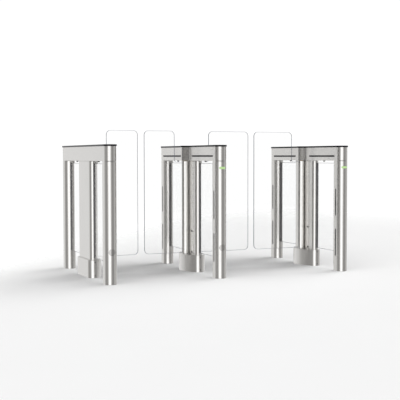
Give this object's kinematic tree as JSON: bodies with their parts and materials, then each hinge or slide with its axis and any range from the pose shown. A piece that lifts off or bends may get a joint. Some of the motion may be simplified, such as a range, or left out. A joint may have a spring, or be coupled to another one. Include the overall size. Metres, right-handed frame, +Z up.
{
  "type": "optical turnstile",
  "caption": "Optical turnstile of slim brushed-steel pedestals with glossy black lids; tall glass wings swing open either way over a narrow and a wide walkway lane.",
  "frame": {"origin": "on the floor, midway between the two outer pedestals and midway along them", "axes": "+X across the lanes from the narrow one to the wide one, +Y along the lanes away from the status lights, +Z up"},
  "size_m": [1.998, 1.21, 1.106],
  "materials": {
    "steel": "fine satin brushing along the length",
    "lid": "high gloss black",
    "glass": "clear toughened, polished edges",
    "sensor_lens": "dark smoked lens",
    "status_light": "lit green lens",
    "nose_cap": "satin, darker than the column",
    "bearing": "turned bronze, hidden",
    "motor": "plain grey housing, hidden"
  },
  "bodies": {
    "pedestals": {"centre_drive_column": "steel", "centre_front_column": "steel", "centre_front_infill_pane": "glass", "centre_front_sensor_bar_left": "sensor_lens", "centre_front_sensor_bar_right": "sensor_lens", "centre_head_beam": "steel", "centre_head_sensor_bar_left": "sensor_lens", "centre_head_sensor_bar_right": "sensor_lens", "centre_nose_cap": "nose_cap", "centre_plinth_cover": "steel", "centre_rear_column": "steel", "centre_rear_infill_pane": "glass", "centre_rear_sensor_bar_left": "sensor_lens", "centre_rear_sensor_bar_right": "sensor_lens", "centre_status_light": "status_light", "centre_top_lid": "lid", "left_drive_column": "steel", "left_front_column": "steel", "left_front_infill_pane": "glass", "left_front_sensor_bar_right": "sensor_lens", "left_head_beam": "steel", "left_head_sensor_bar_right": "sensor_lens", "left_nose_cap": "nose_cap", "left_plinth_cover": "steel", "left_rear_column": "steel", "left_rear_infill_pane": "glass", "left_rear_sensor_bar_right": "sensor_lens", "left_top_lid": "lid", "narrow_left_wing_gear_motor": "motor", "narrow_left_wing_lower_bearing": "bearing", "narrow_left_wing_upper_bearing": "bearing", "narrow_right_wing_gear_motor": "motor", "narrow_right_wing_lower_bearing": "bearing", "narrow_right_wing_upper_bearing": "bearing", "right_drive_column": "steel", "right_front_column": "steel", "right_front_infill_pane": "glass", "right_front_sensor_bar_left": "sensor_lens", "right_head_beam": "steel", "right_head_sensor_bar_left": "sensor_lens", "right_plinth_cover": "steel", "right_rear_column": "steel", "right_rear_infill_pane": "glass", "right_rear_sensor_bar_left": "sensor_lens", "right_status_light": "status_light", "right_top_lid": "lid", "wide_left_wing_gear_motor": "motor", "wide_left_wing_lower_bearing": "bearing", "wide_left_wing_upper_bearing": "bearing", "wide_right_wing_gear_motor": "motor", "wide_right_wing_lower_bearing": "bearing", "wide_right_wing_upper_bearing": "bearing"},
    "narrow_left_wing": {"narrow_left_wing_post": "steel", "narrow_left_wing_pane": "glass"},
    "narrow_right_wing": {"narrow_right_wing_post": "steel", "narrow_right_wing_pane": "glass"},
    "wide_left_wing": {"wide_left_wing_post": "steel", "wide_left_wing_pane": "glass"},
    "wide_right_wing": {"wide_right_wing_post": "steel", "wide_right_wing_pane": "glass"}
  },
  "joints": [
    {"name": "narrow_left_swing", "type": "hinge", "parent": "pedestals", "child": "narrow_left_wing", "pos_m": [-0.895, 0, 0], "axis": [0, 0, 1], "range_deg": [-90, 90]},
    {"name": "narrow_right_swing", "type": "hinge", "parent": "pedestals", "child": "narrow_right_wing", "pos_m": [-0.155, 0, 0], "axis": [0, 0, 1], "range_deg": [-90, 90]},
    {"name": "wide_left_swing", "type": "hinge", "parent": "pedestals", "child": "wide_left_wing", "pos_m": [-0.045, 0, 0], "axis": [0, 0, 1], "range_deg": [-90, 90]},
    {"name": "wide_right_swing", "type": "hinge", "parent": "pedestals", "child": "wide_right_wing", "pos_m": [0.895, 0, 0], "axis": [0, 0, 1], "range_deg": [-90, 90]}
  ],
  "couplings": [
    {"joint": "narrow_right_swing", "follows": "narrow_left_swing", "ratio": -1},
    {"joint": "wide_right_swing", "follows": "wide_left_swing", "ratio": -1}
  ]
}
